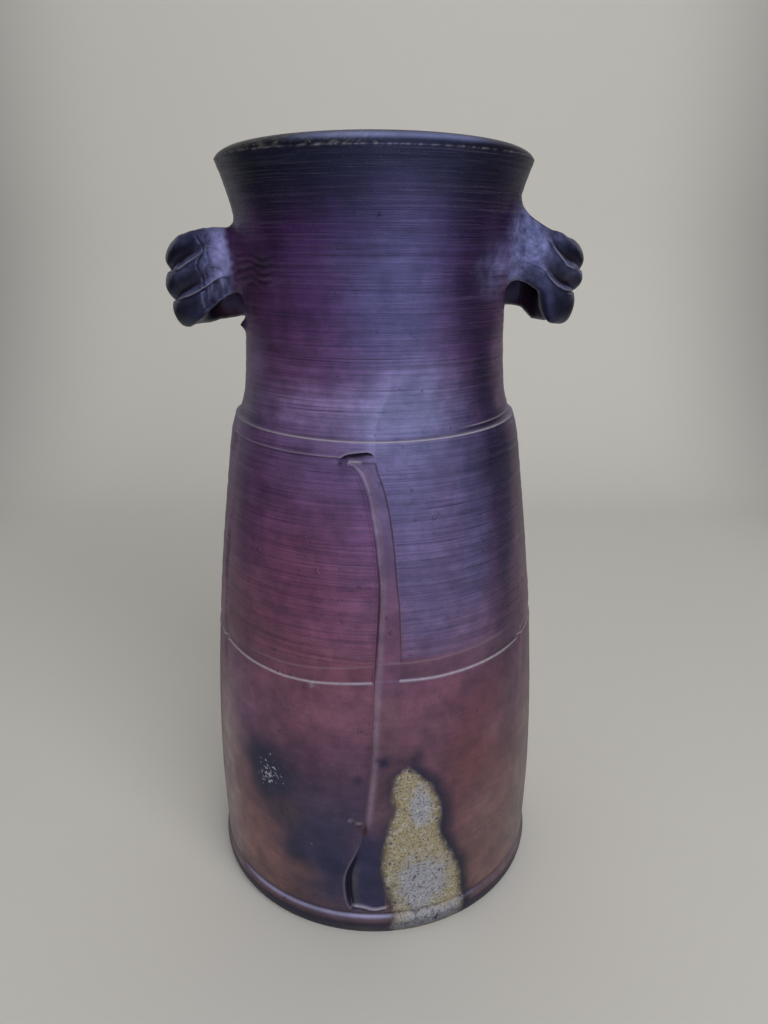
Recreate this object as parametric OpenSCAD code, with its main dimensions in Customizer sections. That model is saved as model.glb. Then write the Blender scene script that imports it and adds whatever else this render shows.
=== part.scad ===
/* [Body] */
// Height of the whole vase, foot to the top of the rim
total_h = 248.5; // [245:0.5:255]
// Height of the ledge that parts the shoulder from the neck
shoulder_h = 169; // [166:1:172]
// Radius of the body just under the shoulder ledge
shoulder_r = 46.3; // [45.6:0.1:47.5]
// Radius of the body at its widest, low on the belly
belly_r = 59.5; // [58:0.5:61]
// Height of the widest place of the belly
belly_h = 37; // [32:1:44]
// Radius where the body meets the groove over the foot
heel_r = 58.9; // [58:0.1:60]
// Thickness of the thrown wall
wall = 5.5; // [4.5:0.5:7]
// Thickness of the floor
floor_t = 8; // [6:1:12]

/* [Foot] */
// Height of the rounded bead round the foot
foot_h = 8.2; // [7:0.2:9]
// Radius of the bead at its widest
foot_r = 59.3; // [58.8:0.1:60]
// Depth of the groove that sets the bead off from the body
foot_groove = 0.9; // [0.5:0.1:1.4]
// Radius of the flat underside
stand_r = 57.2; // [56:0.2:58]

/* [Neck and rim] */
// Radius of the neck just over the shoulder ledge
neck_base_r = 45; // [44.4:0.1:45.2]
// Radius of the neck at its narrowest
neck_r = 41.8; // [41:0.1:43]
// Height of the narrowest place of the neck
neck_h = 201; // [196:1:206]
// Radius of the sharp outer edge of the rim
rim_r = 48.3; // [47:0.1:49.5]
// Height of the bevelled band of the rim
rim_band = 3.9; // [3.4:0.1:4.6]
// Radius of the mouth inside the rim
mouth_r = 41; // [40:0.5:42]

/* [Cut line low on the body] */
// Mean height of the line
line_h = 95.8; // [90:0.1:102]
// How much higher the line runs on the right side than on its mean
line_tilt = 1.1; // [0:0.1:2]
// Size of its second, quicker waver
line_wave = 0.4; // [0:0.1:1]
// Depth of the ledge that the line leaves
line_cut = 0.7; // [0.5:0.1:1.1]
// Height of the shaved band over the line
line_band = 5.6; // [4:0.2:8]

/* [Spatula strokes] */
// Depth of the front stroke where it is pressed hardest
stroke_d = 1.9; // [1.2:0.1:2.4]
// Height of the scraped ledge that runs left from the head of the front stroke
scrape_h = 164.1; // [163.4:0.1:164.8]
// Depth of the scraped ledge
scrape_d = 0.8; // [0.5:0.1:1.1]

/* [Ears] */
// Distance of the outermost face of an ear from the axis
ear_reach = 67; // [65:0.5:69]
// Thickness of the strap at its outer bend
ear_bend_t = 12.5; // [11:0.5:14]
// Thickness of the strap along its two legs
ear_leg_t = 7; // [6:0.5:8]
// Half the distance between the legs of the left ear, middle to middle
left_half_w = 11; // [10.5:0.5:12]
// Half the distance between the legs of the right ear, middle to middle
right_half_w = 13; // [12:0.5:14]
// Height of the top edge at the bend
ear_top_h = 224.4; // [223:0.2:226]
// Height of the bottom edge at the bend
ear_bottom_h = 196.8; // [195:0.2:199]
// Depth of the two thumb grooves that part the three lobes
ear_groove_d = 2.8; // [1.5:0.1:3.4]

/* [Hidden] */
clay = "#4a3a44";
round_sides = 180;

// How far a cutter reaches out past the surface that it cuts
proud = 2.5;

// Eased step from 0 to 1, level at both ends
function ease(t) = let (u = min(max(t, 0), 1)) u * u * (3 - 2 * u);

// Point between p1 and p2 on a smooth curve, for t from 0 to 1
function smooth_point(p0, p1, p2, p3, t) =
    0.5 * (2 * p1 + (p2 - p0) * t + (2 * p0 - 5 * p1 + 4 * p2 - p3) * t * t
    + (3 * p1 - p0 - 3 * p2 + p3) * t * t * t);

// Smooth curve through the points of p, in n steps between each two
function smooth_curve(p, n) = [
    for (i = [0 : len(p) - 2], k = [0 : n - 1])
        smooth_point(p[max(i - 1, 0)], p[i], p[i + 1], p[min(i + 2, len(p) - 1)], k / n),
    p[len(p) - 1]
];

// Outside of the body and of the neck, as [height, radius]
body_line = smooth_curve([
    [foot_h + foot_groove, heel_r],
    [belly_h, belly_r],
    [66, belly_r - 0.9],
    [96, belly_r - 3.1],
    [122.5, belly_r - 5.9],
    [147, belly_r - 9.1],
    [shoulder_h - 7.3, shoulder_r + 2],
    [shoulder_h - 0.6, shoulder_r]
], 5);
neck_line = smooth_curve([
    [shoulder_h + 0.6, neck_base_r],
    [shoulder_h + 10, neck_r + 1],
    [neck_h, neck_r],
    [neck_h + 27, neck_r + 1.7],
    [total_h - rim_band, rim_r]
], 6);
surface = concat(body_line, neck_line);

// Radius of the outside at height z
function radius_at(z) = lookup(z, surface);

// Bead of the foot, from the underside up into the groove
foot_mid = foot_h / 2;
foot_line = [
    for (a = [-90 : 18 : 90])
        [foot_r - (a < 0 ? foot_r - stand_r : foot_groove) * (1 - cos(a)),
         foot_mid * (1 + sin(a))]
];

// Rim, from just inside its sharp outer edge over the top to the mouth
mouth_h = total_h - 4.5;
rim_line = smooth_curve([
    [rim_r - 0.2, total_h - rim_band + 0.3],
    [rim_r - 1.1, total_h - rim_band * 0.5],
    [rim_r - 2.8, total_h - rim_band * 0.14],
    [rim_r - 4.5, total_h],
    [mouth_r + 0.7, total_h - 1.5],
    [mouth_r, mouth_h]
], 3);

// Inside of the wall, from the floor up to the mouth, as [radius, height]
floor_round = 9;
inside_line = smooth_curve([
    [heel_r - wall - floor_round, floor_t],
    [heel_r - wall - floor_round * 0.3, floor_t + floor_round * 0.3],
    [heel_r - wall, floor_t + floor_round],
    [belly_r - wall - 2, 85],
    [shoulder_r - wall + 2, shoulder_h - 12],
    [neck_r - wall, neck_h],
    [mouth_r - 2.5, total_h - 17],
    [mouth_r, mouth_h]
], 5);

// Point on the body t degrees round from the front, pushed out by out
function on_body(t, z, out) = [
    (radius_at(z) + out) * sin(t),
    -(radius_at(z) + out) * cos(t),
    z
];

// Mean of a list of points
function total(p, i = 0) = i == len(p) - 1 ? p[i] : p[i] + total(p, i + 1);
function middle(p) = total(p) / len(p);

// Closed skin over rings of points, each ring seen turning the same way
module skin(rings, closed = false) {
    n = len(rings[0]);
    m = len(rings);
    side = [
        for (i = [0 : m - (closed ? 1 : 2)], k = [0 : n - 1])
            let (a = i * n + k, b = i * n + (k + 1) % n)
            let (c = (a + n) % (m * n), d = (b + n) % (m * n))
                each [[a, d, b], [a, c, d]]
    ];
    caps = [
        for (k = [0 : n - 1])
            let (next = (k + 1) % n, last = (m - 1) * n)
                each [[m * n, k, next], [m * n + 1, last + next, last + k]]
    ];
    ends = [middle(rings[0]), middle(rings[m - 1])];
    if (closed)
        polyhedron([for (r = rings) each r], side);
    else
        polyhedron(concat([for (r = rings) each r], ends), concat(side, caps));
}

// Pot as it came off the wheel, before it was cut and pressed
module thrown_pot() {
    rotate_extrude($fn = round_sides)
        polygon(concat(
            [[0, 0]],
            foot_line,
            [for (p = surface) [p[1], p[0]]],
            rim_line,
            [[0, mouth_h]]
        ));
}

// Space inside the pot, open at the mouth
module hollow() {
    rotate_extrude($fn = round_sides)
        polygon(concat(
            [[0, floor_t]],
            inside_line,
            [[mouth_r, total_h + proud], [0, total_h + proud]]
        ));
}

// Height of the hand-cut line at t degrees round from the front
function line_at(t) = line_h + line_tilt * sin(t) + line_wave * sin(2 * t);

// Shaved band over the low line, deepest at the line itself
module low_line() {
    step = 5;
    skin([
        for (t = [0 : step : 360 - step])
            let (low = line_at(t), high = low + line_band)
                [on_body(t, low, -line_cut),
                 on_body(t, high, -0.15),
                 on_body(t, high + 0.3, 0.4),
                 on_body(t, high + 0.3, proud),
                 on_body(t, low - 0.2, proud)]
    ], closed = true);
}

// Scraped ledge that runs left from the head of the front stroke and dies out
scrape_from = -78;
scrape_to = -8;
scrape_steps = 18;
module scrape() {
    skin([
        for (i = [0 : scrape_steps])
            let (t = scrape_from + (scrape_to - scrape_from) * i / scrape_steps)
            let (cut = min(scrape_d, (t - scrape_from) * scrape_d / 10 - 0.25))
            let (low = scrape_h - 3 - 11 * ease((scrape_to - t) / 25))
                [on_body(t, scrape_h, -cut),
                 on_body(t, scrape_h + 0.3, proud),
                 on_body(t, low, proud),
                 on_body(t, low, 0.3)]
    ]);
}

// Depth of a stroke s half widths to the right of its middle
function stroke_at(s, d) = 0.25 - (d + 0.25) * (1 - s * s) * (1 - 0.3 * s);

// Spatula stroke along rows of [height, degrees round, half width, depth]
across = [-1.1, -0.75, -0.35, 0, 0.35, 0.75, 1.1];
module stroke(rows) {
    skin([
        for (row = smooth_curve(rows, 4))
            let (spread = row[2] / radius_at(row[0]) * 180 / PI)
                concat(
                    [for (s = across) on_body(row[1] + s * spread, row[0], stroke_at(s, row[3]))],
                    [for (s = [1.1, -1.1]) on_body(row[1] + s * spread, row[0], proud)]
                )
    ]);
}

// The long stroke down the front, from the scraped ledge to the foot
front_stroke = [
    [scrape_h + 1.5, -5.8, 2.6, stroke_d * 0.7],
    [scrape_h + 0.4, -6.3, 4.5, stroke_d],
    [160, -2.6, 3.1, stroke_d],
    [152, 0.8, 2.8, stroke_d],
    [136, 3.4, 2.8, stroke_d * 0.9],
    [119, 4.7, 3, stroke_d * 0.9],
    [104, 4.1, 3.9, stroke_d * 0.7],
    [86, 2.8, 3.6, stroke_d * 0.4],
    [60, 1.2, 3.4, stroke_d * 0.4],
    [40, -1, 3.2, stroke_d * 0.4],
    [24, -6.4, 3, stroke_d * 0.5],
    [15, -6, 2.8, stroke_d * 0.4],
    [11, -5.6, 2.6, -0.2]
];

// Lighter strokes round the rest of the body, each fading out at both ends
function light_stroke(t, lean, top) = [
    [top, t - lean, 1.4, -0.2],
    [top - 9, t - lean * 0.4, 1.8, stroke_d * 0.5],
    [top - 24, t, 2.3, stroke_d * 0.7],
    [top - 40, t + lean * 0.2, 2.3, stroke_d * 0.6],
    [top - 52, t + lean, 1.7, -0.2]
];
light_strokes = [[-65.5, -4, 149], [62.5, -3, 134], [122, 4, 144], [183, -4, 150], [244, 3, 140]];

// The strap of an ear: two straight legs that reach through the neck's wall,
// joined by a half circle, with its section in rows from the bottom edge up
root_x = 31;
smear_y = 27;
leg_steps = 6;
bend_steps = 16;
lobe_rows = 20;
inner_rows = 6;
groove_rows = [0.3, 0.6];
function strap_edge(k) = pow(1 - pow(abs(2 * k - 1), 2.3), 1 / 2.3);
function groove_at(k) = ear_groove_d
    * (exp(-pow((k - groove_rows[0]) / 0.05, 2)) + exp(-pow((k - groove_rows[1]) / 0.05, 2)));

// One ring of the strap at place x, y, facing a degrees round its bend.
// f runs from -1 at the front root over 0 at the bend to 1 at the back root,
// and rise is how far the top edge climbs the neck at the front root
function strap_ring(x, y, a, f, rise) =
    let (half_t = (ear_leg_t + (ear_bend_t - ear_leg_t) * pow(cos(a), 2)) / 2)
    let (smear = (smear_y - abs(y) - half_t) * pow(max(45.5 - x, 0) / (45.5 - root_x), 1.25))
    let (press = 1 - ease(abs(f) / 0.42))
    let (bottom = ear_bottom_h + (f < 0 ? 14.5 * ease(-f / 0.55) : 4 * ease(f / 0.8)))
    let (top = ear_top_h + (f < 0 ? rise : -2) * pow(abs(f), 2.2))
    [
        for (i = [0 : lobe_rows])
            let (k = i / lobe_rows, out = (half_t + smear) * strap_edge(k) - groove_at(k) * press)
                [x + cos(a) * out, y + sin(a) * out, bottom + (top - bottom) * k],
        for (i = [inner_rows - 1 : -1 : 1])
            let (k = i / inner_rows, out = -half_t * strap_edge(k))
                [x + cos(a) * out, y + sin(a) * out, bottom + (top - bottom) * k]
    ];

// Ear: a wide strap of clay bent into a loop and pressed with two thumb grooves
module ear(half_w, rise) {
    bend_x = ear_reach - ear_bend_t / 2 - half_w;
    leg = bend_x - root_x;
    run = leg + half_w * PI / 2;
    leg_at = [for (i = [0 : leg_steps - 1]) leg * i / leg_steps];
    skin(concat(
        [for (d = leg_at) strap_ring(root_x + d, half_w, 90, (run - d) / run, rise)],
        [
            for (i = [0 : bend_steps])
                let (a = 90 - 180 * i / bend_steps)
                    strap_ring(bend_x + half_w * cos(a), half_w * sin(a), a,
                        half_w * PI * a / 180 / run, rise)
        ],
        [
            for (i = [leg_steps - 1 : -1 : 0])
                strap_ring(root_x + leg_at[i], -half_w, -90, -(run - leg_at[i]) / run, rise)
        ]
    ));
}

module vase() {
    color(clay) difference() {
        union() {
            thrown_pot();
            ear(right_half_w, rise = 18.5);
            mirror([1, 0, 0]) ear(left_half_w, rise = 5);
        }
        hollow();
        low_line();
        scrape();
        stroke(front_stroke);
        for (s = light_strokes)
            stroke(light_stroke(s[0], s[1], s[2]));
    }
}

vase();
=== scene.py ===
import math

import bpy
import numpy as np
from mathutils import Matrix, Vector, noise
from mathutils.bvhtree import BVHTree


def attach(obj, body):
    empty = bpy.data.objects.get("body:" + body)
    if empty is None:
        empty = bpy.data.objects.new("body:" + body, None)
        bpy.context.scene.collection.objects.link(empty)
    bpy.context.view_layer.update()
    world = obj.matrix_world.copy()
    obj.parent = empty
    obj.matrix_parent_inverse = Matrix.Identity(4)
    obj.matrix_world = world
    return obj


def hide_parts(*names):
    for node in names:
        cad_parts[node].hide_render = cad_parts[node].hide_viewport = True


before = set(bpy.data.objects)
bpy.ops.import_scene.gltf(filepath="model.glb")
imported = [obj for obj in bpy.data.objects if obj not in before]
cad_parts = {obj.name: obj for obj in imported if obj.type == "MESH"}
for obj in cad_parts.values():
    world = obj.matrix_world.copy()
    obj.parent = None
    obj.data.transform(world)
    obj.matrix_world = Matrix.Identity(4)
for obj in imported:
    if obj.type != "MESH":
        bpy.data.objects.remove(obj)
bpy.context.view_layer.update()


# The camera: a phone with a wide lens, held a little lower than the rim and
# a hand's length in front of the vase, tipped down so that the foot shows.
CAMERA_PLACE = (0.00094, -0.25782, 0.22160)
CAMERA_TIPPED = 19.298
CAMERA_TURNED = 0.496
CAMERA_ROLLED = 0.110

lens = bpy.data.cameras.new("camera")
lens.sensor_width = 36.0
lens.lens = 27.035
lens.clip_start = 0.01
camera = bpy.data.objects.new("camera", lens)
camera.matrix_world = (
    Matrix.Translation(CAMERA_PLACE)
    @ Matrix.Rotation(math.radians(-CAMERA_TURNED), 4, "Z")
    @ Matrix.Rotation(math.radians(90 - CAMERA_TIPPED), 4, "X")
    @ Matrix.Rotation(math.radians(CAMERA_ROLLED), 4, "Z")
)
bpy.context.scene.collection.objects.link(camera)
bpy.context.scene.camera = camera


# The pot: one piece of stoneware, thrown on the wheel in one pull from foot
# to rim. Sizes are in millimetres until the mesh is made. Outlines are of
# (radius, height), and the lines of body and neck of (height, radius).
MM = 0.001
TOTAL_H = 248.5
WIDEST_R = 59.45
RIM_EDGE_H = 244.6
FOOT_OUTLINE = [
    (57.2, 0), (58.1, 0.5), (58.9, 1.7), (59.3, 4.1), (59.15, 6.0), (58.75, 7.4), (58.3, 8.3),
]
BODY_LINE = [
    (8.9, 58.25), (9.5, 58.75), (14, 59.05), (37, 59.5), (66, 58.6), (96, 56.4), (122.5, 53.6),
    (147, 50.4), (161.7, 48.3), (168.75, 46.35),
]
NECK_LINE = [
    (169.05, 45.1), (170.5, 44.6), (179, 42.8), (201, 41.8), (228, 43.5), (244.6, 48.3),
]
RIM_OUTLINE = [
    (48.3, 244.6), (48.1, 245.1), (47.25, 246.55), (45.5, 247.95), (43.8, 248.5),
    (42.3, 247.9), (41.3, 246.3), (40.9, 244),
]
INSIDE_OUTLINE = [
    (40.9, 244), (38.5, 231.5), (36.3, 201), (38.2, 175), (42.8, 157), (52, 85), (53.6, 40),
    (53.2, 17), (50.5, 11), (44.4, 8.2), (20, 8),
]
UNDERSIDE = [(12, 0), (30, 0), (48, 0), (55, 0)]
INSIDE_FLOOR = [(14, 8), (7, 8)]


def eased(x):
    """0 below 0, 1 above 1, and level at both ends between."""
    x = np.clip(x, 0.0, 1.0)
    return x * x * (3 - 2 * x)


def hump(x, width):
    return np.exp(-((x / width) ** 2))


def between(x, low, high, soft):
    """1 from low to high, fading to 0 over soft outside them."""
    return eased((x - low) / soft + 1) * eased((high - x) / soft + 1)


def drawn_through(points, steps=20):
    """A smooth line through the points, as a bent lath would lie."""
    p = np.array(points, float)
    q = np.vstack([p[:1], p, p[-1:]])
    t = np.linspace(0, 1, steps, endpoint=False)[:, None]
    parts = [
        0.5 * (2 * b + (c - a) * t + (2 * a - 5 * b + 4 * c - d) * t**2
               + (3 * b - a - 3 * c + d) * t**3)
        for a, b, c, d in zip(q[:-3], q[1:-2], q[2:-1], q[3:])
    ]
    return np.vstack(parts + [p[-1:]])


def read_off(line, x):
    """What the line of (x, value) says at x."""
    return np.interp(x, *np.array(line, float).T)


THROWN_WALL = np.vstack([drawn_through(BODY_LINE), drawn_through(NECK_LINE)])


def thrown_radius(z):
    """Radius of the wall as it was thrown, at height z."""
    return read_off(THROWN_WALL, z)


# Marks in the wall. Angles are in degrees from the front, with + to the
# right as the photograph shows it; heights are in millimetres.
LOW_LINE_H = 95.8
LEDGE_H = 169.0
SCRAPE_H = 164.1
# The low line is of (angle, height), the edges of the strokes (height, angle)
LOW_LINE = [
    (-180, 95.6), (-120, 95.0), (-75, 95.3), (-60, 95.5), (-45, 94.7), (-30, 94.3), (-20, 94.7),
    (-8, 95.7), (6, 96.7), (20, 96.4), (45, 96.8), (65, 97.2), (100, 97.0), (140, 96.2),
    (180, 95.6),
]
STROKE_LEFT = [
    (8, -7.4), (10.5, -7.7), (14, -9.1), (20.7, -9.7), (26.6, -8.9), (34.6, -5.9), (41, -3.8),
    (49.7, -3.1), (58.1, -2.3), (68.7, -1.3), (80.8, -0.9), (96.6, -0.2), (108.1, 0.5),
    (120.9, 1.2), (126.5, 1.3), (133, 0.8), (139.4, 0.1), (146.7, -1.3), (152.1, -2.4),
    (156.8, -4.2), (159.9, -6.1), (162.2, -9.1), (163.4, -11.5),
]
STROKE_RIGHT = [
    (8, 3.0), (30, 3.6), (60, 6.6), (80, 7.6), (102.6, 8.2), (111.2, 8.1), (119.6, 7.9),
    (127.9, 7.1), (137.6, 6.4), (147.3, 5.1), (152, 4.0), (156.8, 2.6), (159.9, 1.2),
    (164.7, 0.1),
]
# Lighter strokes: middle line, half width, depth
LIGHT_STROKES = [
    ([(74, -61.5), (92, -63.6), (100.3, -64.5), (106.5, -64.6), (114, -65.4), (121.3, -66.2),
      (125.3, -65.4), (132.5, -65), (138.7, -62.8), (147, -60.0)], 2.1, 0.75),
    ([(70, 55), (75, 55.3), (82, 58.0), (89.6, 59.6), (97.8, 61.4), (103, 64.2), (109, 64.4),
      (119.6, 63.4), (129.5, 64), (134, 64.5)], 2.1, 0.75),
    ([(90, 125), (104, 124), (120, 122), (135, 120), (146, 118)], 2.2, 1.2),
    ([(96, 180), (112, 182.5), (126, 183), (140, 185), (151, 187)], 2.2, 1.2),
    ([(86, 247), (100, 245), (116, 244), (131, 242.6), (141, 241)], 2.2, 1.2),
]
LINE_STEPS = 8


def turned(degrees):
    """The same angle between -180 and 180."""
    return (degrees + 180) % 360 - 180


def seen(a, low, high, soft):
    """1 where the angle a lies from low to high."""
    middle = (low + high) / 2
    return between(turned(a - middle), low - middle, high - middle, soft)


def along(line, z):
    return read_off(drawn_through(line, LINE_STEPS), z)


def stations(start, spans):
    """Places from start on, stepping by each span's step up to its end."""
    places = [start]
    for end, step in spans:
        count = max(1, round((end - places[-1]) / step))
        places += list(np.linspace(places[-1], end, count + 1)[1:])
    return np.array(places)


# Rows of the mesh lie close together at the cut lines and at the ledge, and
# columns lie close together along the strokes and bend with the long one.
wall_rows = stations(8.9, [
    (12, 0.3), (17, 0.5), (93.6, 1.1), (97.6, 0.16), (102.6, 0.33), (157, 0.95), (162.6, 0.45),
    (166.4, 0.2), (168.2, 0.45), (169.6, 0.11), (171.2, 0.2), (209, 1.0), (219, 0.5),
    (240, 1.05), (244.3, 0.45), (244.6, 0.15),
])
columns = stations(-180, [
    (-123, 4), (-109, 1.2), (-80, 3), (-75, 0.8), (-69.5, 1.4), (-60.5, 0.75), (-57, 1.2),
    (-12.6, 1.5), (-10.5, 0.7), (-0.7, 0.9), (1.6, 0.17), (5.3, 0.55), (6.5, 0.2), (36, 0.95),
    (55, 1.7), (59, 1.3), (69, 0.8), (90, 2.2), (116, 3.5), (128, 1.2), (176, 4), (180, 1.3),
])[:-1]
below = np.vstack([UNDERSIDE, drawn_through(FOOT_OUTLINE, 3)])
above = np.vstack([
    drawn_through(RIM_OUTLINE, 3)[1:], drawn_through(INSIDE_OUTLINE, 4)[1:], INSIDE_FLOOR,
])
row_v = np.concatenate([below[:, 1], wall_rows, above[:, 1]])
row_r = np.concatenate([below[:, 0], thrown_radius(wall_rows), above[:, 0]])
is_wall = np.repeat([False, True, False], [len(below), len(wall_rows), len(above)])

V, U = np.meshgrid(row_v, columns, indexing="ij")
R = row_r[:, None]
outer = np.repeat(is_wall[:, None], len(columns), axis=1)

# Columns 0 and 6 follow the two edges of the long stroke
LAST_COLUMN = 6
near = eased((185 - V) / 14)
left_edge = along(STROKE_LEFT, np.clip(V, 8, 162.2)) * near
right_edge = np.maximum(along(STROKE_RIGHT, np.clip(V, 8, 164.7)), left_edge + 4)
right_edge = LAST_COLUMN + (right_edge - LAST_COLUMN) * near
A = (
    U + left_edge * np.interp(U, [-35, 0, LAST_COLUMN], [0, 1, 0])
    + (right_edge - LAST_COLUMN) * np.interp(U, [0, LAST_COLUMN, 40], [0, 1, 0])
)
# Rows bend with the low line and with the ledge
Z = V + outer * (
    (read_off(LOW_LINE, turned(A)) - LOW_LINE_H) * between(V, 92, 104, 14)
    + (168.6 + 0.9 * eased(np.abs(turned(A)) / 75) - LEDGE_H) * between(V, 166, 172, 12)
)
angle = np.radians(A)
arc = np.pi / 180 * thrown_radius(V)

# What the tools did to each place, and what is painted on it: how deep it is
# cut, its painted highlight, partly wear, its painted shade, and how smooth it is
cut, highlight_and_wear, painted_shade, smoothed = np.zeros((4, *V.shape))

# The ledge between shoulder and neck: a crisp edge with a small burr and a
# painted highlight, partly wear, and on the right a second fine edge, with a
# painted highlight, over a narrow groove with painted shade
cut -= 0.14 * hump(V - 168.62, 0.22)
highlight_and_wear += hump(V - 168.68, 0.20) * (0.45 + 0.45 * seen(A, -25, 45, 40))
second = seen(A, 44, 78, 12)
cut += second * (0.3 * hump(V - 169.5, 0.25) - 0.2 * hump(V - 170.2, 0.25))
highlight_and_wear += second * 0.55 * hump(V - 170.22, 0.18)
painted_shade += second * 0.6 * hump(V - 169.6, 0.25)

# The scraped ledge to the left of the long stroke's head, with a painted
# highlight along its edge and a painted shadow under it
scraped = seen(A, -66, -12.5, 5)
over = V - SCRAPE_H
fade = eased(-over / (8 + 7 * eased((-12 - A) / 25)))
cut += scraped * eased(0.5 - over / 0.34) * 0.8 * (1 - fade)
cut -= scraped * 0.2 * hump(over - 0.35, 0.32)
highlight_and_wear += scraped * 0.42 * hump(over - 0.22, 0.26) * (0.6 + 0.4 * seen(A, -66, -15, 8))
painted_shade += scraped * 0.45 * hump(over + 0.5, 0.25)

# The long stroke: a spatula's corner ran down its left edge, where the wall
# drops steeply, and its blade left a smooth floor that rises to the right
stroke_depth = np.interp(
    V, [9.6, 11, 14, 20, 28, 36, 44, 48, 60, 80, 96, 108, 125, 150, 160, 163.5],
    [0, 0.7, 1.5, 1.8, 1.5, 0.9, 0.8, 0.45, 0.5, 0.6, 0.95, 1.15, 1.2, 1.3, 1.5, 1.5],
)
right_depth = np.interp(V, [60, 96, 103, 125, 150, 160, 165], [0, 0, 0.16, 0.28, 0.4, 0.5, 0.5])
lip_width = np.interp(V, [10, 30, 45, 100, 150, 162], [1.3, 1.3, 1.0, 1.0, 1.3, 1.6])
from_left = (A - left_edge) * arc
width = np.maximum((right_edge - left_edge) * arc, 2.5)
from_right = from_left - width
up_to_right = 1 - eased(from_right / 0.35 + 0.5)
down = np.clip(from_left / lip_width, 0, 1)
across = np.clip((from_left - lip_width) / (width - lip_width), 0, 1)
floor_depth = stroke_depth + (right_depth - stroke_depth) * across**0.8
profile = np.where(down < 1, stroke_depth * (1 - (1 - down) ** 2.2), floor_depth)
profile = np.where(from_left < 0, 0, profile) * up_to_right
in_stroke = eased(from_left / 0.3) * up_to_right
length = between(V, 10.6, 162.3, 0.9)
slit = np.interp(
    V, [10, 13, 22, 30, 35, 60, 92, 100, 118, 134, 140],
    [0, 1.3, 1.7, 1.1, 0.3, 0.12, 0.15, 0.75, 0.85, 0.5, 0.15],
)
slit_width = np.interp(V, [12, 20, 34, 90, 120, 150], [0.55, 0.75, 0.4, 0.22, 0.3, 0.22])
cut += length * (profile + slit * hump(from_left - slit_width * 1.1, slit_width))
cut -= length * 0.16 * hump(from_left + 0.3, 0.25)
cut -= length * 0.12 * hump(from_right - 0.3, 0.3) * eased((V - 100) / 6)
# Painted shade in the slit along the left edge, and painted highlights along both edges
painted_shade += length * np.clip(slit * 1.1, 0.25, 1) * hump(from_left - slit_width * 0.9, slit_width)
highlight_and_wear += length * 0.25 * hump(from_left + 0.35, 0.2) * (1 - eased((V - 30) / 10))
highlight_and_wear += length * 0.12 * hump(from_right - 0.15, 0.2) * eased((V - 101) / 5)
smoothed += length * in_stroke * (1 - 0.5 * eased((90 - V) / 30))

# The head of the long stroke: a crescent hollow under an overhanging lip,
# with painted shade in the hollow and its corner and painted highlights by the lip
crescent_top = np.interp(
    A, [-12.6, -12.1, -11.4, -9.5, -6, -2.5, -0.8, -0.3],
    [163.3, 163.7, 164.3, 165.1, 165.6, 165.8, 165.3, 164.9],
)
crescent_low = np.interp(
    A, [-12.6, -12, -9.8, -6.9, -4, -0.8, -0.3],
    [163.1, 163.1, 163.5, 163.6, 164.3, 164.9, 164.9],
)
crescent = seen(A, -12.3, -0.5, 0.35)
under_lip = eased((crescent_top - V) / 0.28 + 0.5)
over = V - crescent_low
up_hollow = over / np.maximum(crescent_top - crescent_low, 0.3)
head = crescent * under_lip * (over > -2.6)
cut += head * 1.1 * eased(up_hollow * 1.3)
cut += head * 0.9 * eased(over / 1.2 + 0.6) * eased((A + 12.4) / 1.5)
cut -= crescent * 0.22 * hump(V - crescent_top - 0.4, 0.4)
painted_shade += crescent * under_lip * eased(up_hollow * 2.2)
highlight_and_wear += crescent * 0.35 * hump(V - crescent_top - 0.35, 0.35)
highlight_and_wear += seen(A, -11.2, -5.0, 0.8) * 0.8 * hump(V - 162.9, 0.55) * (from_left > 0.1)
corner = hump((A + 12.6) * arc, 0.7)
cut += 0.9 * corner * hump(V - 162.6, 0.7)
painted_shade += 0.8 * corner * hump(V - 162.5, 0.7)

# A nick in the floor of the stroke, and the skid at its lower start, both
# with painted shade, and a painted highlight over the skid
nick = hump((A - 0.9) * arc, 0.9)
nick_h = V - 0.25 * (A - 0.9)
cut += 0.5 * nick * hump(nick_h - 156.9, 0.22)
painted_shade += 0.8 * nick * hump(nick_h - 156.6, 0.25)
skid_side = (A + 5.2) * arc
skid_top = 46.2 - 0.35 * skid_side
skid_width = between(skid_side, -2.6, 2.2, 0.6)
skid = skid_width * between(V, skid_top - 3.4, skid_top, 0.3)
skid *= eased((skid_side + 2.6 - (skid_top - V) * 0.9) / 0.8)
cut += 0.45 * skid
painted_shade += 0.35 * skid
highlight_and_wear += 0.4 * skid_width * hump(V - skid_top - 0.4, 0.35)

# The low line: a band shaved over it left a ledge with a painted highlight
# where it catches the light, broken where the long stroke crosses it
unbroken = 1 - between(from_left, -0.2, width - 0.6, 0.5)
over = V - LOW_LINE_H
shaved = eased(over / 0.9 + 0.5) * (1 - np.clip(over / 5.6, 0, 1)) ** 1.3
cut += shaved * (0.25 + 0.45 * unbroken)
cut -= 0.13 * unbroken * hump(over + 0.55, 0.4)
thick = 0.55 + 0.45 * seen(A, -70, 38, 25)
highlight_and_wear += unbroken * thick * 0.95 * hump(over + 0.02, 0.11 + 0.11 * thick)
drip = 0.3 * hump((A + 20) * arc, 0.9) * hump(over + 0.9, 0.9)
cut -= drip
highlight_and_wear += drip
faint_h = 100.9 + 0.03 * (A + 13)
faint = (seen(A, -38, -8, 12) + seen(A, 8.2, 42, 12)) * hump(V - faint_h, 0.3)
cut -= 0.10 * faint
highlight_and_wear += 0.16 * faint
band = between(V, LOW_LINE_H, faint_h, 0.6) * unbroken
smoothed += 0.45 * band

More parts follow.
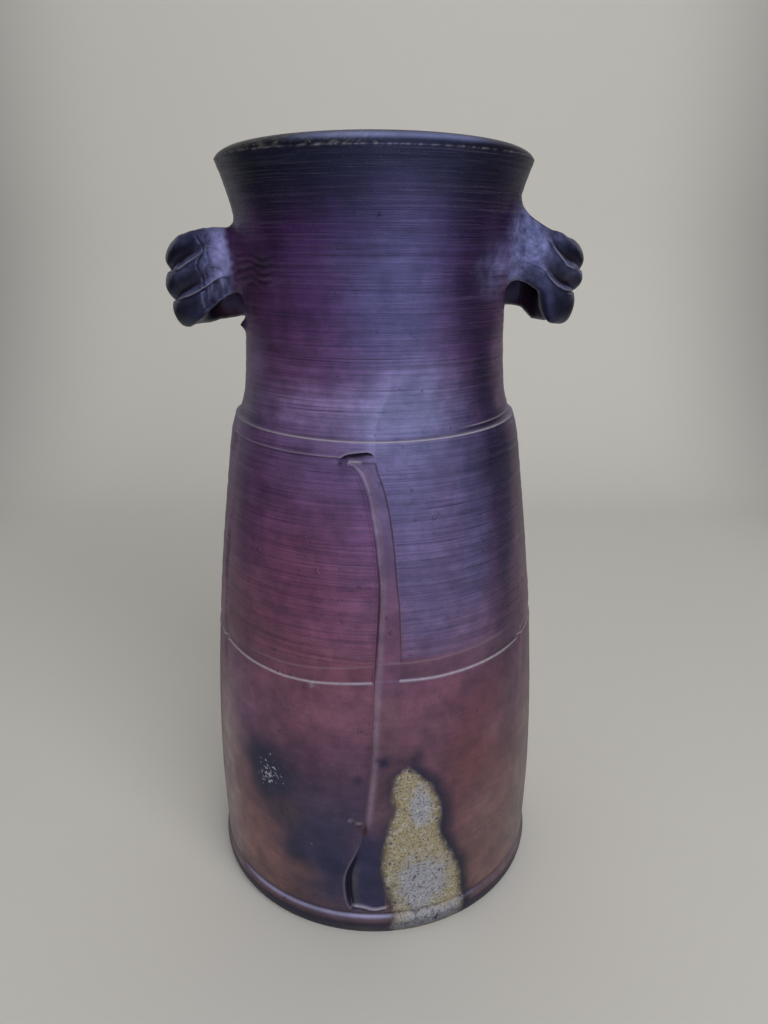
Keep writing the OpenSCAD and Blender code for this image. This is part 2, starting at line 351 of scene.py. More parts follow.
# Lighter strokes round the body, with painted shade along their left side and
# a painted highlight along their right
for line, half, depth in LIGHT_STROKES:
    side = turned(A - along(line, V)) * arc / half
    low, high = line[0][0], line[-1][0]
    run = eased((V - low) / (16 if low < 80 else 9)) * eased((high - V) / 9)
    cut += depth * run * np.clip(1 - side**2, 0, 1) * (1 - 0.45 * side)
    cut -= 0.12 * run * (hump(side + 1.15, 0.22) + hump(side - 1.15, 0.22))
    painted_shade += 0.22 * run * hump(side + 0.85, 0.25)
    highlight_and_wear += 0.12 * run * hump(side - 0.9, 0.3)
    smoothed += 0.8 * run * np.clip(1.2 - np.abs(side), 0, 1)

# Wrinkles and smears of the slip that fixed the ears to the neck, with painted
# shade in the wrinkles and the crease and a painted highlight on the wrinkles' crests
WRINKLE_PITCH = 2.1
SMEAR_PITCH = 1.7
ripple = seen(A, -72, -47, 6) * between(Z, 210.5, 217.5, 2.0)
wave = (Z + 0.05 * (A + 54) + 0.6 * np.sin(A * 0.35)) * 2 * np.pi / WRINKLE_PITCH
cut -= 0.24 * ripple * np.sin(wave)
painted_shade += 0.9 * ripple * np.clip(-np.sin(wave + 0.3), 0, 1)
highlight_and_wear += 0.10 * ripple * np.clip(np.sin(wave) - 0.6, 0, 1)
crease = Z - 215.4 - 0.06 * (A + 52)
cut += 0.45 * hump(A + 54, 6.5) * (hump(crease, 0.7) - 0.45 * hump(crease - 1.6, 0.7))
painted_shade += 0.9 * hump(A + 54, 6) * hump(crease, 0.8)
# A small nub under the left ear, darkened through the painted-shade mask
nub = hump((A + 77.5) * arc, 1.1) * hump(Z - 197.2, 1.2)
cut -= 1.7 * nub
painted_shade += 1.6 * nub
smears = seen(A, 38, 62, 7) * between(Z, 207, 219, 3)
smear_line = Z + 0.35 * (A - 40) - 0.006 * (A - 40) ** 2
cut -= 0.11 * smears * np.sin(smear_line * 2 * np.pi / SMEAR_PITCH)

# Throwing lines that the fingers left in spirals, strong over the low line:
# pitch, depth and slant
THROWING_LINES = [
    (5.3, 0.045, 0.010), (3.4, 0.045, -0.006), (2.3, 0.04, 0.004), (7.9, 0.05, -0.003),
]
# Single deeper ones: height, from which angle, to which angle, depth
DEEP_LINES = [
    (191.9, -60, 25, 0.20), (190.6, -52, 30, 0.14), (199.6, -58, 8, 0.14),
    (181.2, -60, 10, 0.18), (183.0, -60, 30, 0.10), (222.6, -40, 22, 0.12),
    (172.6, -45, -5, 0.16), (150.3, 5, 40, 0.12), (133.2, -42, -4, 0.10),
    (144.0, -50, -10, 0.10), (117.0, -14, -2, 0.16), (108.9, -34, -3, 0.12),
    (110.2, -30, -16, 0.10), (140.6, 8, 36, 0.12), (236.4, -10, 40, 0.10),
]
lines = np.zeros_like(V)
for k, (pitch, depth, slant) in enumerate(THROWING_LINES):
    swell = 0.6 + 0.4 * np.sin(Z / (9.0 + 4 * k) + A / (31.0 + 9 * k) + k)
    lines += depth * swell * np.sin(2 * np.pi * (Z + slant * A) / pitch + 1.7 * k)
thrown = (0.22 + 0.78 * eased((V - 100) / 4)) * (1 - np.clip(smoothed, 0, 1))
cut += lines * thrown * between(V, 14, 242, 3)
# Each deeper line is darkened with painted shade
for height, low, high, depth in DEEP_LINES:
    line_here = depth * seen(A, low, high, 9) * hump(Z - height - 0.012 * (A - low), 0.38)
    cut += line_here
    painted_shade += 1.6 * line_here

# The foot: a bead under a groove, with a ridge of pushed-up clay where the
# long stroke ran out; painted shade lies in the groove and under the bead, and
# painted highlights on the bead and the ridge
on_foot = (R > 56) & ~outer
painted_shade += 0.7 * hump(V - 8.9, 0.45)
painted_shade += 0.6 * on_foot * (1 - eased((V - 4.2) / 2.4))
highlight_and_wear += 0.25 * on_foot * hump(V - 7.6, 0.5) * seen(A, -48, 28, 10)
from_ridge = V - 11.4 - 0.45 * np.sin((A + 8) * 0.62) - 0.03 * (A + 3)
ridge = 0.75 * seen(A, -7.4, 3.2, 0.8) * outer
cut -= ridge * hump(from_ridge, 0.5)
highlight_and_wear += ridge * hump(from_ridge - 0.25, 0.35)
painted_shade += 0.7 * seen(A, -8.4, 2.5, 0.8) * hump(from_ridge + 1.0, 0.4) * outer

# The rim's edge has a dotted painted highlight, partly wear. The rim dips a
# little at both sides, and the wall wavers as hand work does
RIM_DIP = 1.1
SET_BACK = 0.26
dots = np.clip(np.sin(A * 2.3) * np.sin(A * 0.9 + 1) + 0.3, 0, 1)
highlight_and_wear += 0.30 * hump(V - RIM_EDGE_H - 0.2, 0.22) * seen(A, -80, 80, 20) * dots
rim_share = np.clip((V - RIM_EDGE_H) / (TOTAL_H - RIM_EDGE_H), 0, 1)
Z = Z - RIM_DIP * np.sin(angle) ** 2 * rim_share
waver = 0.16 * np.sin(2 * angle + 0.9 + Z / 70) + 0.10 * np.sin(3 * angle + 2.2 - Z / 45)
radius = R - outer * (cut + (SET_BACK - waver) * between(V, 14, 242, 8) * (R > 41.5))
radius = np.minimum(radius, WIDEST_R)

# Rings inside, left by the fingers as the wall rose
RING_DEPTH = 0.28
RING_PITCH = 8.5
inside = ~outer & (V > 9) & (V < INSIDE_OUTLINE[0][1])
radius = radius + RING_DEPTH * inside * np.sin(Z * 2 * np.pi / RING_PITCH + angle)

pot_places = np.stack([radius * np.sin(angle), -radius * np.cos(angle), Z], -1).reshape(-1, 3)


def mesh_of(name, places, faces):
    """A smooth mesh piece from places in millimetres."""
    mesh = bpy.data.meshes.new(name)
    mesh.from_pydata((np.asarray(places, float) * MM).tolist(), [], faces)
    mesh.validate()
    mesh.polygons.foreach_set("use_smooth", [True] * len(mesh.polygons))
    piece = bpy.data.objects.new(name, mesh)
    bpy.context.scene.collection.objects.link(piece)
    return piece


def closed_faces(rings, around):
    """Quads over rings of places, then a fan at each end round one more place."""
    i = np.arange(rings - 1)[:, None] * around
    k = np.arange(around)[None, :]
    after = (k + 1) % around
    quads = np.stack([i + k, i + after, i + around + after, i + around + k], axis=-1)
    count, last = rings * around, (rings - 1) * around
    pairs = [(a, (a + 1) % around) for a in range(around)]
    first_fan = [(b, a, count) for a, b in pairs]
    last_fan = [(last + a, last + b, count + 1) for a, b in pairs]
    return quads.reshape(-1, 4).tolist() + first_fan + last_fan


# The ears: two wide straps of clay, each bent into a loop and luted to the
# neck at both ends. A thumb pressed round each bend left two sharp lips.
EAR_REACH = 66.45
EAR_LIMIT = 66.4
EAR_BEND_T = 12.4
EAR_LEG_T = 7.0
EAR_ROOT_X = 31.0
EAR_ROOT_DEPTH = 2.6
EAR_SMEAR_X = 45.5
EAR_SMEAR_Y = 22.5
EAR_EDGE = 2.3
LIP_LIFT = 2.9
LOBE_ROWS = 40
BACK_ROWS = 26
# f runs along a strap, from -1 at its front root, over 0 at the bend, to 1
# at its back root. Lines are of (f, height), and a lip is a line and the
# depth of the hollow over it.
LEFT_EAR = {
    "side": -1, "half": 11.0, "seed": 3.0, "corner": 3.0, "lobes": (-0.4, 0.3, 0.7),
    "top": [
        (-1, 229.4), (-0.64, 226.2), (-0.48, 225.9), (-0.39, 225.5), (-0.2, 224.0), (0, 222.3),
        (0.2, 223.3), (0.45, 224.0), (1, 222.4),
    ],
    "bottom": [
        (-1, 212), (-0.72, 209.8), (-0.66, 208.0), (-0.61, 206.6), (-0.57, 205.4),
        (-0.525, 204.2), (-0.46, 202.6), (-0.40, 200.9), (-0.35, 199.2), (-0.25, 197.0),
        (-0.15, 196.0), (0, 195.9), (0.3, 196.2), (0.42, 197.3), (0.64, 198.4), (1, 199.5),
    ],
    "lips": [
        ([(-1, 216.0), (-0.66, 212.8), (-0.585, 212.0), (-0.525, 211.2), (-0.49, 210.4),
          (-0.459, 209.5), (-0.42, 208.5), (-0.357, 207.2), (-0.283, 205.7), (-0.208, 204.7),
          (-0.075, 204.1), (0.2, 204.4), (0.45, 206.0), (1, 208.0)],
         [(-0.64, 0), (-0.55, 0.6), (-0.46, 1.1), (-0.35, 1.7), (-0.2, 2.1), (0.2, 2.1),
          (0.4, 1.0), (0.5, 0)]),
        ([(-1, 223.5), (-0.6, 221.0), (-0.50, 220.2), (-0.437, 218.9), (-0.39, 217.6),
          (-0.336, 216.2), (-0.272, 214.7), (-0.208, 213.6), (-0.075, 213.2), (0.2, 213.5),
          (0.45, 215.0), (1, 216.0)],
         [(-0.50, 0), (-0.44, 0.5), (-0.3, 1.4), (-0.15, 2.2), (0.2, 2.2), (0.4, 1.0),
          (0.5, 0)]),
    ],
}
RIGHT_EAR = {
    "side": 1, "half": 13.0, "seed": 11.0, "corner": 0.0, "lobes": (-1.4, 0.3, 1.0),
    "top": [
        (-1, 242.5), (-0.72, 233.0), (-0.59, 229.4), (-0.48, 226.9), (-0.39, 225.5),
        (-0.3, 224.7), (-0.2, 223.6), (0, 222.6), (0.2, 223.6), (0.45, 224.0), (1, 222.4),
    ],
    "bottom": [
        (-1, 212.0), (-0.72, 211.3), (-0.65, 211.1), (-0.59, 210.3), (-0.53, 209.1),
        (-0.484, 208.0), (-0.453, 206.6), (-0.42, 203.4), (-0.38, 199.8), (-0.33, 198.0),
        (-0.225, 197.2), (0, 197.0), (0.34, 197.2), (0.40, 198.0), (0.445, 199.4),
        (0.49, 200.9), (0.55, 201.5), (0.72, 201.8), (1, 202.5),
    ],
    "lips": [
        ([(-1, 219.0), (-0.6, 216.0), (-0.471, 213.8), (-0.446, 212.4), (-0.404, 210.7),
          (-0.367, 209.4), (-0.324, 208.5), (-0.269, 207.7), (-0.09, 207.1), (0.2, 207.3),
          (0.45, 208.6), (1, 210.0)],
         [(-0.52, 0), (-0.45, 0.7), (-0.35, 1.7), (-0.2, 2.4), (0.2, 2.4), (0.4, 1.0),
          (0.5, 0)]),
        ([(-1, 234.0), (-0.6, 226.6), (-0.434, 222.0), (-0.416, 221.0), (-0.391, 219.6),
          (-0.367, 218.3), (-0.324, 216.4), (-0.281, 215.1), (-0.214, 214.2), (-0.09, 213.8),
          (0.2, 213.9), (0.45, 215.2), (1, 216.2)],
         [(-0.47, 0), (-0.42, 0.8), (-0.35, 1.4), (-0.2, 1.6), (0.2, 1.6), (0.4, 0.9),
          (0.5, 0)]),
    ],
}
# Dry cracks in the face of the left ear: how open each is, and its line of
# (distance out, height)
CRACKS = [
    (1.0, [(53.4, 222.9), (52.4, 221.6), (51.6, 220.6), (51.5, 219.0), (52.8, 217.0),
           (53.7, 214.6), (52.7, 212.5), (52.4, 210.8), (51.7, 209.1)]),
    (0.6, [(50.4, 219.8), (50.3, 217.8), (49.8, 215.8), (50.8, 214.5), (51.3, 213.3),
           (50.8, 211.6)]),
    (0.5, [(49.9, 214.3), (48.2, 214.4), (46.7, 214.2), (45.9, 213.3), (45.8, 211.8)]),
    (0.35, [(50.0, 219.8), (47.0, 219.8), (45.8, 218.2), (45.0, 217.8)]),
]
FOLD = [(47.5, 228.6), (49.4, 227.4), (50.9, 227.0), (52.3, 226.0)]


def line_distance(x, z, line):
    """Distance of each place x, z from a line of points."""
    nearest = np.full(x.shape, np.inf)
    for (x0, z0), (x1, z1) in zip(line[:-1], line[1:]):
        run_x, run_z = x1 - x0, z1 - z0
        t = ((x - x0) * run_x + (z - z0) * run_z) / (run_x**2 + run_z**2)
        t = np.clip(t, 0, 1)
        nearest = np.minimum(nearest, np.hypot(x - x0 - t * run_x, z - z0 - t * run_z))
    return nearest


def rough_at(places, scale, seed):
    """Smooth noise at places, the size of its lumps being scale."""
    shift = Vector((seed, 0, 0))
    lumps = np.asarray(places) / np.array(scale)
    values = [noise.noise(Vector(p) + shift) for p in lumps.reshape(-1, 3)]
    return np.array(values).reshape(lumps.shape[:-1])


def strap(ear):
    """Places of a strap's mesh as rings, with its painted shade and the painted highlight along
    its lips.
    """
    half = ear["half"]
    bend_x = EAR_REACH - EAR_BEND_T / 2 - half
    leg = bend_x - EAR_ROOT_X
    run = leg + half * math.pi / 2
    bend_end = leg + half * math.pi
    d = stations(0, [(leg, 0.55), (run, 0.42), (bend_end, 0.27), (2 * run, 0.45)])
    f = 1 - d / run
    a = math.pi / 2 - np.clip((d - leg) / half, 0, math.pi)
    x = np.where(d > bend_end, EAR_ROOT_X + 2 * run - d, bend_x + half * np.cos(a))
    x = np.where(d < leg, EAR_ROOT_X + d, x)
    y = half * np.sin(a)
    # Rows lie close together at the lips and at the edges of the strap; s
    # counts the lobes upwards on the outside, and back down on the inside
    u = np.linspace(0, 1, LOBE_ROWS, endpoint=False)
    u = 0.45 * u + 0.55 * (0.5 - 0.5 * np.cos(np.pi * u))
    s_out = np.concatenate([u, 1 + u, 2 + u, [3.0]])
    s = np.concatenate([s_out, np.linspace(3, 0, BACK_ROWS + 2)[1:-1]])[None, :]
    facing = np.concatenate([np.ones(len(s_out)), -np.ones(BACK_ROWS)])[None, :]
    bottom, top, low_lip, high_lip = [
        along(line, f)[:, None]
        for line in (ear["bottom"], ear["top"], *(line for line, _ in ear["lips"]))
    ]
    x, y, a, f = x[:, None], y[:, None], a[:, None], f[:, None]
    pz = (
        bottom + (low_lip - bottom) * np.clip(s, 0, 1)
        + (high_lip - low_lip) * np.clip(s - 1, 0, 1) + (top - high_lip) * np.clip(s - 2, 0, 1)
    )
    pz = np.where(facing > 0, pz, bottom + (top - bottom) * s / 3)
    k = np.clip((pz - bottom) / (top - bottom), 0, 1)
    edge = (1 - np.abs(2 * k - 1) ** EAR_EDGE) ** (1 / EAR_EDGE)

    half_t = (EAR_LEG_T + (EAR_BEND_T - EAR_LEG_T) * np.cos(a) ** 2) / 2
    to_root = np.maximum(EAR_SMEAR_X - x, 0) / (EAR_SMEAR_X - EAR_ROOT_X)
    smear = (EAR_SMEAR_Y - np.abs(y) - half_t) * to_root**1.25
    low_lobe, mid_lobe, high_lobe = ear["lobes"]
    lobes = (
        low_lobe + (mid_lobe - low_lobe) * eased((s - 0.85) / 0.3)
        + (high_lobe - mid_lobe) * eased((s - 1.85) / 0.3)
    ) * (1 - eased(np.abs(f) / 0.42))
    pressed, painted_shade, lip_highlight = 0, 0, 0
    for (_, lip_depth), line in zip(ear["lips"], (low_lip, high_lip)):
        depth = read_off(lip_depth, f)
        over = pz - line
        under = np.minimum(over, 0)
        # On the front each lip is the lower ridge of a hollow that a finger
        # pressed; round the bend it narrows to a notch
        on_front = eased((-f - 0.10) / 0.16)
        lifted = LIP_LIFT * on_front
        peak = over - lifted
        rising = 1 - 0.85 * eased(-peak / (lifted + 0.05)) * on_front
        over_it = np.where(peak > 0, np.exp(-((np.maximum(peak, 0) / 2.3) ** 1.6)), rising)
        under_it = 0.62 * np.exp(under / 1.9) + 0.38 * hump(under, 0.45)
        ledge = 0.15 + 0.35 * hump(over + 0.45, 0.4)
        under_it = under_it + on_front * (ledge - under_it) * (over < -0.02)
        pressed = pressed + depth * np.where(over > 0, over_it, under_it)
        # Painted shade in each hollow and under its lip, and a painted highlight along the lip
        deep = np.clip(depth / 2.0, 0, 1)
        painted_shade = painted_shade + deep * np.where(over > -0.05, hump(peak - 0.2, 1.7), 0)
        painted_shade = painted_shade + 0.7 * on_front * deep * hump(over + 0.45, 0.35)
        from_lip = over - 0.12 * on_front + 0.3 * (1 - on_front)
        lip_highlight = lip_highlight + 0.42 * np.clip(depth / 1.2, 0, 1) * hump(from_lip, 0.16)
    out = (half_t + smear + lobes) * edge - pressed * edge**0.5
    out = np.where(facing > 0, out, -half_t * edge)
    places = np.stack([x + np.cos(a) * out, y + np.sin(a) * out, pz], axis=-1)
    # Painted shade on the inner faces of the loop
    painted_shade = np.where(facing > 0, painted_shade, 0.6)
    lip_highlight = np.where(facing > 0, lip_highlight, 0)
    return places, *np.broadcast_arrays(f, s, facing, painted_shade, lip_highlight)


def soft_least(p, q, reach):
    """The lesser of two distances, rounded where they meet."""
    h = np.maximum(reach - np.abs(p - q), 0) / reach
    return np.minimum(p, q) - h * h * reach / 4


def neck_distance(p):
    """How far places lie outside the neck's wall."""
    z = p[..., 2]
    slope = thrown_radius(z + 0.5) - thrown_radius(z - 0.5)
    return (np.hypot(p[..., 0], p[..., 1]) - thrown_radius(z) + 0.2) / np.sqrt(1 + slope**2)


def each_vertex(piece, what):
    values = np.zeros(len(piece.data.vertices) * 3)
    piece.data.vertices.foreach_get(what, values)
    return values.reshape(-1, 3)


ears = []
for name, ear in (("ear_left", LEFT_EAR), ("ear_right", RIGHT_EAR)):
    places, f, s, facing, ear_shade, ear_highlight = strap(ear)
    rings, around = places.shape[:2]
    # The hand left the straps uneven: slow swells, small dents and a grain
    outward = places - places.mean(axis=1, keepdims=True)
    outward /= np.maximum(np.linalg.norm(outward, axis=-1, keepdims=True), 1e-6)
    calm = 1 - eased((places[..., 0] - 61) / 5)
    swells, dents, grain = [rough_at(places, size, ear["seed"]) for size in (9.0, 3.1, 0.95)]
    uneven = (swells * 0.40 + dents * 0.26) * (0.35 + 0.65 * calm) + grain * 0.09
    places = places + outward * uneven[..., None]
    front = (facing > 0) & (f < 0)
    if ear is LEFT_EAR:
        for openness, crack in CRACKS:
            crooked_x = places[..., 0] + 0.35 * rough_at(places, 1.7, 5.0)
            crooked_z = places[..., 2] + 0.35 * rough_at(places, 1.7, 8.0)
            gap = line_distance(crooked_x, crooked_z, crack)
            share = openness * front
            places[..., 1] += share * (0.5 * hump(gap, 0.24) - 0.10 * hump(gap - 0.9, 0.5))
            # Painted shade in the crack
            ear_shade = ear_shade + 0.9 * share * hump(gap, 0.26)
        # The lowest lobe of the left ear is crumpled towards its front root, with
        # painted shade and painted highlights on its folds
        crumple = front * between(f, -0.60, -0.42, 0.05) * between(s, 0.12, 0.86, 0.12)
        folds = np.clip(rough_at(places, (1.1, 9.0, 3.6), 17.0) * 2.2, -1, 1)
        places[..., 1] += crumple * (0.7 + 0.5 * folds)
        ear_shade = ear_shade + 0.7 * crumple * np.clip(folds, 0, 1)
        ear_highlight = ear_highlight + 0.25 * crumple * np.clip(-folds - 0.3, 0, 1)
    else:
        gap = line_distance(places[..., 0], places[..., 2], FOLD)
        places[..., 1] -= 0.5 * hump(gap, 0.8) * (f < 0)
        # Painted shade along the fold
        ear_shade = ear_shade + 0.6 * hump(gap - 0.2, 0.35) * front
    past_limit = np.maximum(places[..., 0] - EAR_LIMIT, 0)
    places[..., 0] += 0.5 * np.tanh(past_limit / 0.5) - past_limit
    whole = places * np.array([ear["side"], 1, 1])
    # Inside the neck's wall the strap ends half way through it
    places = whole.copy()
    least = thrown_radius(places[..., 2]) - EAR_ROOT_DEPTH
    r = np.hypot(places[..., 0], places[..., 1])
    places[..., :2] *= np.maximum(least / np.maximum(r, 1e-6), 1)[..., None]
    ends = []
    for ring in (0, -1):
        mid = places[ring].mean(axis=0)
        inward = (thrown_radius(mid[2]) - EAR_ROOT_DEPTH) / math.hypot(mid[0], mid[1])
        ends.append(mid * (inward, inward, 1))
    faces = closed_faces(rings, around)
    if ear["side"] < 0:
        faces = [tuple(reversed(face)) for face in faces]
    piece = mesh_of(name, np.vstack([places.reshape(-1, 3), ends]), faces)
    corners = np.vstack([whole.reshape(-1, 3), whole[0].mean(axis=0), whole[-1].mean(axis=0)])
    clear = neck_distance(corners) > -0.4
    free_faces = [face for face in faces if all(clear[i] for i in face)]
    whole_strap, free_strap = [
        BVHTree.FromPolygons((corners * MM).tolist(), some)
        for some in (faces[: (rings - 1) * around], free_faces)
    ]
    ears.append({
        "piece": piece, "side": ear["side"], "corner": ear["corner"], "whole": whole_strap,
        "free": free_strap, "f": f, "s": s, "facing": facing, "painted_shade": ear_shade, "highlight_and_wear": ear_highlight,
    })

# Luting: slip fills the corner between strap and neck, so both surfaces
# swell to one rounded corner there, a tighter one over the left ear
LUTE_REACH = 6.0
MOST_SWELLING = 3.2
TUCK = 0.12


def lute_reach(ear, z):
    return LUTE_REACH - ear["corner"] * eased((z - 219) / 4)


def strap_distance(ear, place):
    """How far a place is from the strap's part outside the neck, or inside it."""
    there = place * MM
    gap = ear["free"].find_nearest(there)[3]
    at, normal = ear["whole"].find_nearest(there)[:2]
    return math.copysign(gap, (there - at).dot(normal)) / MM


def swelling(gap, reach, halvings, shape=()):
    """How far a surface swells until it is in the rounded corner.

    gap gives how far it then is from the other surface.
    """
    low, high = np.zeros(shape), np.full(shape, MOST_SWELLING)
    for _ in range(halvings):
        t = (low + high) / 2
        met = soft_least(gap(t), t, reach) > 0
        low, high = np.where(met, low, t), np.where(met, t, high)
    t = (low + high) / 2
    return t - TUCK * eased((t - gap(t)) / 0.8)


on_neck = outer.ravel() & (pot_places[:, 2] > 188) & (pot_places[:, 2] < 243)
for ear in ears:
    for index in np.nonzero(on_neck & (ear["side"] * pot_places[:, 0] > 15))[0]:
        place = Vector(pot_places[index])
        reach = float(lute_reach(ear, place.z))
        if strap_distance(ear, place) <= reach + 0.5:
            way = Vector((place.x, place.y, 0)).normalized()
            swell = swelling(lambda t: strap_distance(ear, place + way * float(t)), reach, 9)
            pot_places[index] = place + way * float(swell)

    piece = ear["piece"]
    co, normals = each_vertex(piece, "co") / MM, each_vertex(piece, "normal")
    apart = neck_distance(co)
    reach = lute_reach(ear, co[:, 2])
    swell = swelling(lambda t: neck_distance(co + normals * t[:, None]), reach, 14, len(co))
    # Where the strap lies flat on the neck, the neck's own swelling covers it
    away = co[:, :2] / np.linalg.norm(co[:, :2], axis=1, keepdims=True)
    flat_on = eased(((normals[:, :2] * away).sum(axis=1) - 0.45) / 0.3)
    share = eased((apart + 0.7) / 0.7) * (1 - flat_on * (1 - eased((apart - 0.6) / 1.6)))
    share *= (apart > -0.7) & (apart < reach + 0.5)
    co += normals * (swell * share)[:, None]
    piece.data.vertices.foreach_set("co", (co * MM).ravel())
    piece.data.update()

pot = mesh_of("pot", np.vstack([pot_places, [(0, 0, 0), (0, 0, 8)]]), closed_faces(*V.shape))


# The firing: flame and wood ash coloured the bare clay, in a fade from red
# brown at the foot to near black at the rim, the near black partly painted
# shade under the flaring rim, with soft flashes over it.
HEIGHT_FADE = [
    (0, (0.085, 0.045, 0.036)), (12, (0.11, 0.058, 0.042)), (60, (0.11, 0.045, 0.05)),
    (84, (0.134, 0.054, 0.074)), (104, (0.13, 0.047, 0.07)), (120, (0.126, 0.045, 0.086)),
    (140, (0.102, 0.038, 0.098)), (160, (0.09, 0.048, 0.126)), (172, (0.09, 0.045, 0.12)),
    (184, (0.086, 0.032, 0.094)), (204, (0.062, 0.021, 0.086)), (214, (0.048, 0.018, 0.072)),
    (224, (0.028, 0.006, 0.044)), (232, (0.01, 0.002, 0.016)), (240, (0.001, 0.0006, 0.004)),
    (249, (0.0012, 0.001, 0.004)),
]
# Flashes: angle, height, how wide in degrees, how tall, strength, colour.
# Some are painted light, not the clay's own colour: painted sheen at -12 and
# 12 degrees by the ledge, at 10 on the neck, at 37 and at -62; painted shade
# at 53, 47 and 50 degrees; partly painted reflection of the paper at the
# edges, at -66, 68, -64 and 66 degrees.
FLASHES_AND_PAINTED_LIGHT = [
    (-12, 175, 40, 9, 0.85, (0.18, 0.122, 0.26)), (12, 174, 17, 12, 0.9, (0.225, 0.225, 0.42)),
    (10, 206, 20, 24, 0.8, (0.062, 0.056, 0.145)), (37, 142, 8, 34, 0.75, (0.046, 0.048, 0.12)),
    (-30, 122, 24, 22, 0.6, (0.145, 0.044, 0.084)), (-52, 146, 16, 22, 0.5, (0.08, 0.022, 0.085)),
    (-20, 100, 34, 7, 0.5, (0.14, 0.048, 0.062)), (-62, 176, 9, 22, 0.75, (0.11, 0.06, 0.16)),
    (-66, 130, 6, 46, 0.6, (0.21, 0.12, 0.18)), (53, 156, 11, 62, 0.93, (0.008, 0.002, 0.022)),
    (47, 208, 15, 24, 0.8, (0.014, 0.002, 0.022)), (68, 130, 6, 60, 0.8, (0.09, 0.062, 0.074)),
    (50, 108, 9, 9, 0.65, (0.024, 0.006, 0.022)), (-52, 76, 16, 16, 0.85, (0.165, 0.072, 0.135)),
    (-22, 84, 26, 8, 0.4, (0.165, 0.066, 0.095)), (-14, 71, 14, 8, 0.45, (0.085, 0.034, 0.065)),
    (-64, 38, 11, 44, 0.85, (0.39, 0.29, 0.285)), (-44, 30, 14, 18, 0.65, (0.25, 0.12, 0.1)),
    (-10, 50, 24, 16, 0.8, (0.038, 0.026, 0.044)), (-12, 26, 17, 18, 0.9, (0.028, 0.025, 0.056)),
    (-24, 24, 6, 5, 0.55, (0.14, 0.075, 0.05)), (-36, 57, 12.5, 10.5, 0.97, (0.014, 0.013, 0.026)),
    (-31, 45, 7, 5, 0.6, (0.055, 0.036, 0.032)), (-25, 33, 7.5, 5.5, 0.8, (0.012, 0.012, 0.024)),
    (-18, 39, 10, 5, 0.6, (0.026, 0.024, 0.048)), (-11, 30, 5, 4, 0.7, (0.008, 0.008, 0.022)),
    (2, 62, 6, 9, 0.75, (0.034, 0.018, 0.024)), (30, 66, 8, 15, 0.75, (0.105, 0.034, 0.026)),
    (38, 84, 15, 9, 0.75, (0.074, 0.022, 0.024)), (18, 82, 12, 8, 0.45, (0.11, 0.046, 0.062)),
    (48, 30, 14, 34, 0.7, (0.13, 0.072, 0.06)), (66, 34, 11, 46, 0.8, (0.165, 0.125, 0.11)),
    (38, 60, 7, 12, 0.45, (0.095, 0.038, 0.034)), (57, 82, 8, 14, 0.5, (0.09, 0.052, 0.07)),
    (60, 209, 9, 10, 0.3, (0.06, 0.03, 0.05)), (-56, 209, 10, 12, 0.75, (0.05, 0.008, 0.042)),
]
# The edges of the ash: (height, angle)
ASH_OUTLINE_LEFT = [
    (0, 4.6), (9.8, 5.4), (20.7, 3.3), (29, 1.7), (35.6, 2.1), (44.7, 4.1), (51.4, 5.6),
    (59, 4.8), (63.6, 5.6), (66, 8.6), (67.5, 10.5),
]
ASH_OUTLINE_RIGHT = [
    (0, 31.5), (10, 31), (19.6, 29.2), (30.9, 25.0), (39.6, 21.2), (46.2, 21.3), (53.9, 20.6),
    (59.9, 17.7), (64.5, 13.5), (67.5, 10.5),
]
# Crusts of stuck ash: angle, height, how wide, how tall, how thick
CRUSTS = [
    (-35, 58, 5.5, 7, 1), (-39.5, 54, 3, 4, 0.8), (-23, 35.5, 6, 2.4, 0.35),
    (0.6, 70.6, 1.2, 0.7, 0.55), (3.8, 70.9, 1.2, 0.7, 0.55), (-15, 15, 4, 2, 0.4),
    (-6.5, 46.8, 3, 0.8, 0.5), (-4.6, 60.5, 0.8, 0.8, 0.5),
]
SHEEN_AND_BLOOM = (0.125, 0.13, 0.28)


def told_angle(p):
    return np.degrees(np.arctan2(p[:, 0], -p[:, 1]))


def blob(a, z, at_a, at_z, wide, tall):
    return np.exp(-((turned(a - at_a) / wide) ** 2) - ((z - at_z) / tall) ** 2)


def lay_over(colour, share, tint):
    """Lay a tint over the first places of colour, as far as share says."""
    part = colour[: share.size]
    part += (np.array(tint) - part) * np.clip(share.ravel(), 0, 1)[:, None]


def ground_with_painted_light(p):
    """Colour of the bare clay at places p, with painted sheen, reflection and shade among its
    flashes.
    """
    a = told_angle(p) + 4.0 * rough_at(p, 22.0, 7.0) + 2.6 * rough_at(p, 7.0, 9.0)
    z = p[:, 2] + 4.5 * rough_at(p, 24.0, 31.0) + 2.4 * rough_at(p, 7.5, 33.0)
    heights, tints = zip(*HEIGHT_FADE)
    colour = np.stack([np.interp(z, heights, channel) for channel in zip(*tints)], 1)
    for *place, strength, tint in FLASHES_AND_PAINTED_LIGHT:
        lay_over(colour, strength * np.minimum(1.25 * blob(a, z, *place), 1), tint)
    return colour


def paint(share, tint):
    """Lay a tint over the ground of the piece in hand."""
    lay_over(ground, share, tint)


def keep_mask(piece, name, *channels):
    """Keep up to three masks on a piece, as one colour at each vertex."""
    rgba = np.zeros((len(piece.data.vertices), 4), np.float32)
    rgba[:, 3] = 1
    for number, values in enumerate(channels):
        rgba[: values.size, number] = np.clip(values.ravel(), 0, 1)
    layer = piece.data.color_attributes.new(name, "FLOAT_COLOR", "POINT")
    layer.data.foreach_set("color", rgba.ravel())


pot_now = each_vertex(pot, "co") / MM
ground = ground_with_painted_light(pot_now)
a, z = told_angle(pot_now), pot_now[:, 2]
r = np.hypot(pot_now[:, 0], pot_now[:, 1])

